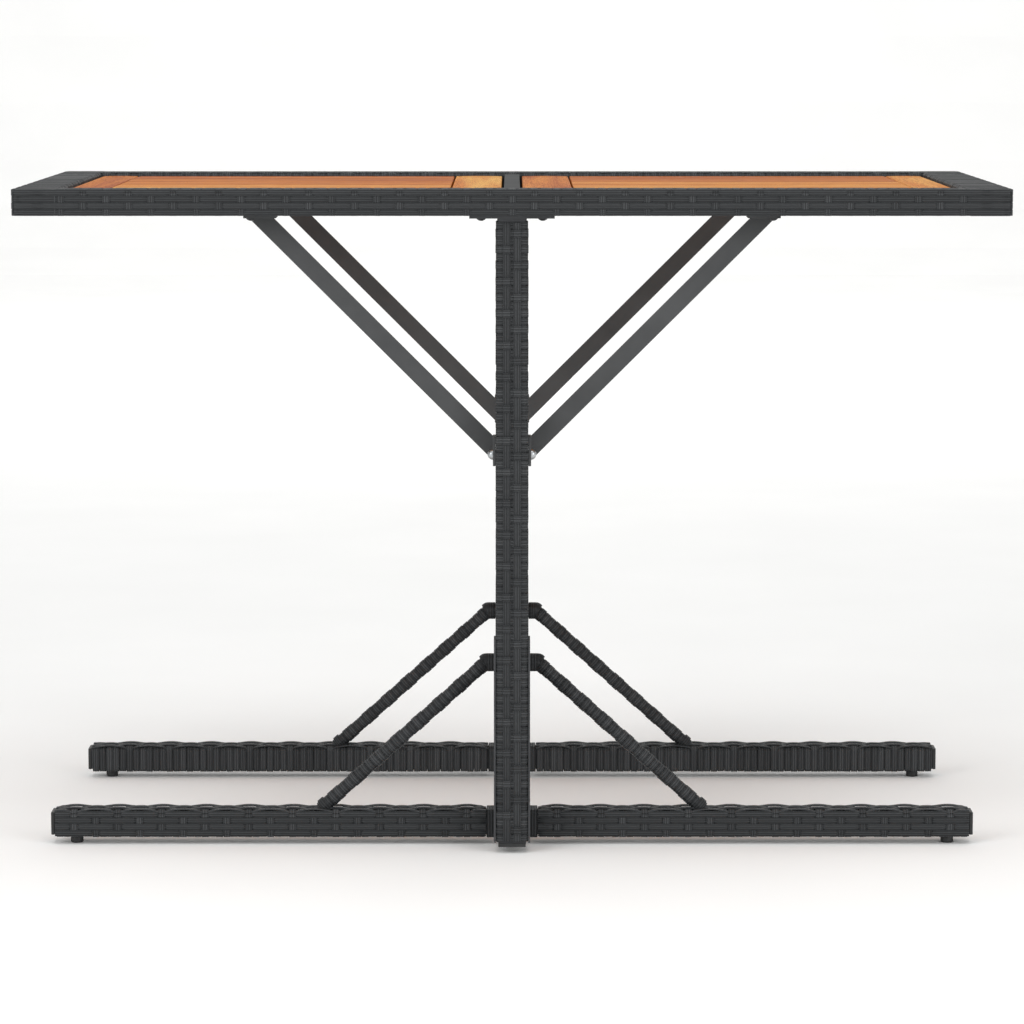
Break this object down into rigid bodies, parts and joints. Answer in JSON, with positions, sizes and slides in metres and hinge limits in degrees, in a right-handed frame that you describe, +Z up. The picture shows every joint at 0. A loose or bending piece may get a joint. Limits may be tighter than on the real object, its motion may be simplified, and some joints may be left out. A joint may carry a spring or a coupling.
{
  "type": "garden table",
  "caption": "Rectangular garden table with a slatted hardwood top in a woven frame, on two braced posts over woven base rails.",
  "frame": {"origin": "on the floor, under the centre of the tabletop", "axes": "+X along the table's length, to the right; +Y towards the back, so the front is -Y; +Z up"},
  "size_m": [1.1, 0.53, 0.744],
  "materials": {
    "powder_coated_steel": "satin dark grey powder coat",
    "woven_strand": "ribbed flat polyethylene strand, satin",
    "oiled_acacia": "planed and oiled",
    "sawn_acacia": "sawn and lightly oiled",
    "black_plastic": "moulded, fine texture",
    "black_bolts": "black oxide",
    "zinc_bolts": "bright zinc plate"
  },
  "bodies": {
    "root": {"frame_tube_front": "powder_coated_steel", "frame_tube_back": "powder_coated_steel", "frame_tube_left": "powder_coated_steel", "frame_tube_right": "powder_coated_steel", "centre_crossbar": "powder_coated_steel", "panel_lugs": "powder_coated_steel", "post_front": "powder_coated_steel", "post_back": "powder_coated_steel", "bracket_front": "powder_coated_steel", "bracket_back": "powder_coated_steel", "rail_front_left": "powder_coated_steel", "rail_front_right": "powder_coated_steel", "rail_back_left": "powder_coated_steel", "rail_back_right": "powder_coated_steel", "lower_brace_front_left": "powder_coated_steel", "lower_brace_front_right": "powder_coated_steel", "lower_brace_back_left": "powder_coated_steel", "lower_brace_back_right": "powder_coated_steel", "upper_brace_front_left": "powder_coated_steel", "upper_brace_front_right": "powder_coated_steel", "upper_brace_back_left": "powder_coated_steel", "upper_brace_back_right": "powder_coated_steel", "weave_top_front": "woven_strand", "weave_top_back": "woven_strand", "weave_top_left": "woven_strand", "weave_top_right": "woven_strand", "weave_post_front": "woven_strand", "weave_post_back": "woven_strand", "weave_rail_front_left": "woven_strand", "weave_rail_front_right": "woven_strand", "weave_rail_back_left": "woven_strand", "weave_rail_back_right": "woven_strand", "weave_brace_front_left": "woven_strand", "weave_brace_front_right": "woven_strand", "weave_brace_back_left": "woven_strand", "weave_brace_back_right": "woven_strand", "board_left_inner": "oiled_acacia", "board_left_outer": "oiled_acacia", "board_left_1": "oiled_acacia", "board_left_2": "oiled_acacia", "board_left_3": "oiled_acacia", "board_left_4": "oiled_acacia", "board_left_5": "oiled_acacia", "board_right_inner": "oiled_acacia", "board_right_outer": "oiled_acacia", "board_right_1": "oiled_acacia", "board_right_2": "oiled_acacia", "board_right_3": "oiled_acacia", "board_right_4": "oiled_acacia", "board_right_5": "oiled_acacia", "battens_left": "sawn_acacia", "battens_right": "sawn_acacia", "post_caps": "black_plastic", "rail_caps": "black_plastic", "glides": "black_plastic", "top_bolts": "black_bolts", "post_bolts": "zinc_bolts", "bracket_bolts": "zinc_bolts", "rivet_nuts": "zinc_bolts", "wood_screws": "zinc_bolts"}
  },
  "joints": []
}
